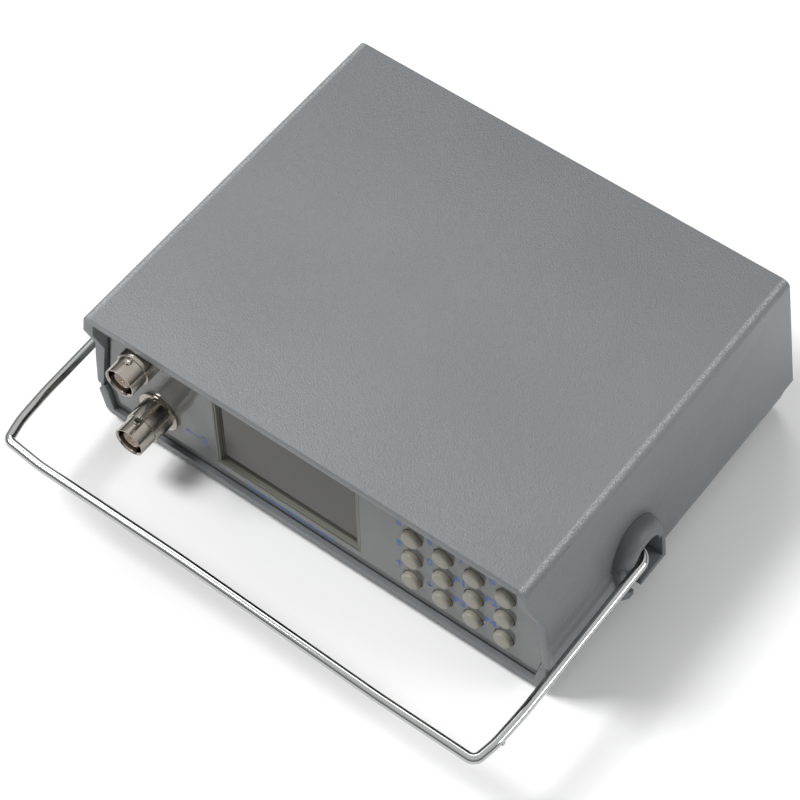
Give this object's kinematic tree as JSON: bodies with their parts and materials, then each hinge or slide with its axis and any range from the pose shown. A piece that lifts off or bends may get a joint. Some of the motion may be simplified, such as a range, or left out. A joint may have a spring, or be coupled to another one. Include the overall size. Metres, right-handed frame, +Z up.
{
  "type": "bench frequency counter",
  "caption": "Small bench instrument in a flared grey plastic case with a hooded front panel, coaxial jacks, a display, round keys and a hinged wire bail.",
  "frame": {"origin": "centre of the bounding box on the plane of the feet, with the bail forward as at rest", "axes": "+X to the right seen from the front, +Y from the front to the back, +Z up"},
  "size_m": [0.1688, 0.156, 0.0569],
  "materials": {
    "case_plastic": "grey moulded plastic with a fine leather-like grain",
    "hub_plastic": "smooth darker grey moulded plastic",
    "panel_plastic": "grey moulded plastic",
    "overlay_film": "glossy light grey film",
    "rear_plate": "dark grey powder coat",
    "bail_chrome": "bright chromed steel rod",
    "bezel_plastic": "olive grey moulded plastic",
    "display_glass": "unlit liquid crystal cell behind a clear front",
    "circuit_board": "green glass-epoxy board",
    "black_plastic": "black moulded plastic",
    "key_plastic": "warm light grey moulded plastic",
    "nickel": "nickel-plated brass",
    "jack_insulator": "cream plastic",
    "contact_brass": "gold-flashed brass",
    "lead_jacket": "black flexible jacket",
    "tinned_steel": "tinned sheet steel",
    "capacitor_can": "shrink-sleeved cans",
    "ribbon_film": "grey flat lead",
    "header_plastic": "natural moulded plastic",
    "rubber": "black rubber",
    "screw_steel": "zinc-plated steel"
  },
  "bodies": {
    "case": {"top_cover": "case_plastic", "bottom_tray": "case_plastic", "front_panel": "panel_plastic", "panel_overlay": "overlay_film", "rear_panel": "rear_plate", "left_hub": "hub_plastic", "right_hub": "hub_plastic", "display_bezel": "bezel_plastic", "display_glass": "display_glass", "display_board": "circuit_board", "keypad_board": "circuit_board", "key_switches": "black_plastic", "upper_jack_shell": "nickel", "upper_jack_insulator": "jack_insulator", "upper_jack_contact": "contact_brass", "lower_jack_shell": "nickel", "lower_jack_insulator": "jack_insulator", "lower_jack_contact": "contact_brass", "jack_washers": "nickel", "jack_nuts": "nickel", "coax_leads": "lead_jacket", "main_board": "circuit_board", "shield_box": "tinned_steel", "shield_lid": "tinned_steel", "board_chips": "black_plastic", "capacitors": "capacitor_can", "panel_ribbons": "ribbon_film", "ribbon_headers": "header_plastic", "power_inlet": "black_plastic", "inlet_nut": "nickel", "switch_body": "black_plastic", "rubber_feet": "rubber", "case_screws": "screw_steel", "board_screws": "screw_steel"},
    "bail": {"bail": "bail_chrome"},
    "key_1": {"key_1": "key_plastic"},
    "key_2": {"key_2": "key_plastic"},
    "key_3": {"key_3": "key_plastic"},
    "key_4": {"key_4": "key_plastic"},
    "key_5": {"key_5": "key_plastic"},
    "key_6": {"key_6": "key_plastic"},
    "key_7": {"key_7": "key_plastic"},
    "key_8": {"key_8": "key_plastic"},
    "key_9": {"key_9": "key_plastic"},
    "key_0": {"key_0": "key_plastic"},
    "key_f1": {"key_f1": "key_plastic"},
    "key_f2": {"key_f2": "key_plastic"},
    "key_up": {"key_up": "key_plastic"},
    "key_down": {"key_down": "key_plastic"},
    "key_f3": {"key_f3": "key_plastic"},
    "key_f4": {"key_f4": "key_plastic"},
    "switch_rocker": {"switch_rocker": "black_plastic"}
  },
  "joints": [
    {"name": "bail_hinge", "type": "hinge", "parent": "case", "child": "bail", "pos_m": [0, -0.00037, 0.0265], "axis": [1, 0, 0], "range_deg": [0, 88]},
    {"name": "key_1_slide", "type": "slide", "parent": "case", "child": "key_1", "axis": [0, 1, 0], "range_m": [0, 0.0005], "stiffness_N_per_m": 2400},
    {"name": "key_2_slide", "type": "slide", "parent": "case", "child": "key_2", "axis": [0, 1, 0], "range_m": [0, 0.0005], "stiffness_N_per_m": 2400},
    {"name": "key_3_slide", "type": "slide", "parent": "case", "child": "key_3", "axis": [0, 1, 0], "range_m": [0, 0.0005], "stiffness_N_per_m": 2400},
    {"name": "key_4_slide", "type": "slide", "parent": "case", "child": "key_4", "axis": [0, 1, 0], "range_m": [0, 0.0005], "stiffness_N_per_m": 2400},
    {"name": "key_5_slide", "type": "slide", "parent": "case", "child": "key_5", "axis": [0, 1, 0], "range_m": [0, 0.0005], "stiffness_N_per_m": 2400},
    {"name": "key_6_slide", "type": "slide", "parent": "case", "child": "key_6", "axis": [0, 1, 0], "range_m": [0, 0.0005], "stiffness_N_per_m": 2400},
    {"name": "key_7_slide", "type": "slide", "parent": "case", "child": "key_7", "axis": [0, 1, 0], "range_m": [0, 0.0005], "stiffness_N_per_m": 2400},
    {"name": "key_8_slide", "type": "slide", "parent": "case", "child": "key_8", "axis": [0, 1, 0], "range_m": [0, 0.0005], "stiffness_N_per_m": 2400},
    {"name": "key_9_slide", "type": "slide", "parent": "case", "child": "key_9", "axis": [0, 1, 0], "range_m": [0, 0.0005], "stiffness_N_per_m": 2400},
    {"name": "key_0_slide", "type": "slide", "parent": "case", "child": "key_0", "axis": [0, 1, 0], "range_m": [0, 0.0005], "stiffness_N_per_m": 2400},
    {"name": "key_f1_slide", "type": "slide", "parent": "case", "child": "key_f1", "axis": [0, 1, 0], "range_m": [0, 0.0005], "stiffness_N_per_m": 2400},
    {"name": "key_f2_slide", "type": "slide", "parent": "case", "child": "key_f2", "axis": [0, 1, 0], "range_m": [0, 0.0005], "stiffness_N_per_m": 2400},
    {"name": "key_up_slide", "type": "slide", "parent": "case", "child": "key_up", "axis": [0, 1, 0], "range_m": [0, 0.0005], "stiffness_N_per_m": 2400},
    {"name": "key_down_slide", "type": "slide", "parent": "case", "child": "key_down", "axis": [0, 1, 0], "range_m": [0, 0.0005], "stiffness_N_per_m": 2400},
    {"name": "key_f3_slide", "type": "slide", "parent": "case", "child": "key_f3", "axis": [0, 1, 0], "range_m": [0, 0.0005], "stiffness_N_per_m": 2400},
    {"name": "key_f4_slide", "type": "slide", "parent": "case", "child": "key_f4", "axis": [0, 1, 0], "range_m": [0, 0.0005], "stiffness_N_per_m": 2400},
    {"name": "rocker_hinge", "type": "hinge", "parent": "case", "child": "switch_rocker", "pos_m": [-0.024, 0.06993, 0.0269], "axis": [1, 0, 0], "range_deg": [0, 16]}
  ]
}
